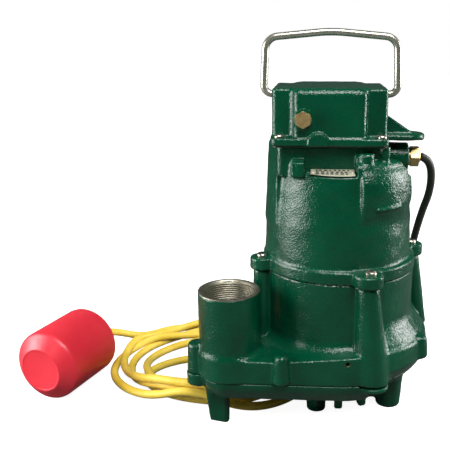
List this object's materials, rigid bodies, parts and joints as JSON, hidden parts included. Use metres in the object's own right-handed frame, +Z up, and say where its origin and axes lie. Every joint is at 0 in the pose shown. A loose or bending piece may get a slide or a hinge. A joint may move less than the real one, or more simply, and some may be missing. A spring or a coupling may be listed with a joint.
{
  "type": "submersible sump pump",
  "caption": "Cast-iron submersible sump pump with a top cap and wire bail handle, a side discharge with pipe thread, a strainer base on feet, and a tethered float switch on a coiled cord.",
  "frame": {"origin": "middle of the footprint of the pump without its cords and float, on the floor", "axes": "+Z up along the pump axis, -Y towards the front with the oil plug, +X towards the cord gland"},
  "size_m": [0.4496, 0.3605, 0.3841],
  "materials": {
    "enamel": "dark green enamel over a rough casting",
    "cast_iron": "bare cast iron",
    "steel": "bright drawn steel",
    "brass": "machined brass",
    "copper": "varnished copper wire",
    "black_rubber": "semi-matt black cord jacket",
    "yellow_jacket": "smooth yellow cord jacket",
    "red_plastic": "glossy red moulded plastic",
    "black_plastic": "matt black moulded plastic"
  },
  "bodies": {
    "pump": {"pump_body": "enamel", "base_plate": "enamel", "motor_housing": "enamel", "cap_cover": "enamel", "cap_gasket": "black_rubber", "housing_o_ring": "black_rubber", "oil_plug": "brass", "cord_gland_nut": "brass", "cord_strain_relief": "black_rubber", "housing_screw_1": "steel", "housing_screw_2": "steel", "housing_screw_3": "steel", "housing_screw_4": "steel", "cap_screw_1": "steel", "cap_screw_2": "steel", "cap_screw_3": "steel", "cap_screw_4": "steel", "base_screw_1": "steel", "base_screw_2": "steel", "base_screw_3": "steel", "base_screw_4": "steel", "nameplate": "steel", "stator_core": "steel", "stator_winding_top": "copper", "stator_winding_bottom": "copper", "upper_bearing": "steel", "lower_bearing": "steel", "seal_seat": "cast_iron", "run_capacitor": "steel", "thermal_overload": "black_plastic", "terminal_block": "black_plastic", "float_shell": "red_plastic", "float_grommet": "red_plastic", "float_switch_capsule": "black_plastic", "power_cord": "black_rubber", "power_cord_coil": "black_rubber", "power_cord_end": "black_rubber", "power_plug": "black_rubber", "switch_cord_lead": "yellow_jacket", "switch_cord_coil": "yellow_jacket", "switch_cord_end": "yellow_jacket", "piggyback_plug": "yellow_jacket", "power_plug_blade_1": "brass", "power_plug_blade_2": "brass", "power_plug_blade_3": "brass", "piggyback_blade_1": "brass", "piggyback_blade_2": "brass", "piggyback_blade_3": "brass"},
    "handle": {"bail_handle": "steel"},
    "rotor": {"motor_shaft": "steel", "rotor_core": "steel", "impeller": "cast_iron", "seal_face": "cast_iron", "seal_bellows": "black_rubber"},
    "switch_ball": {"float_switch_ball": "steel"}
  },
  "joints": [
    {"name": "handle_pivot", "type": "hinge", "parent": "pump", "child": "handle", "pos_m": [0.01249, 0.00975, 0.3216], "axis": [1, 0, 0], "range_deg": [-110, 73]},
    {"name": "rotor_spin", "type": "hinge", "parent": "pump", "child": "rotor", "pos_m": [0.02519, -0.00025, 0.15], "axis": [0, 0, 1], "continuous": true},
    {"name": "ball_roll", "type": "slide", "parent": "pump", "child": "switch_ball", "axis": [0.3007, 0.9537, 0], "range_m": [-0.0015, 0.0275]}
  ]
}
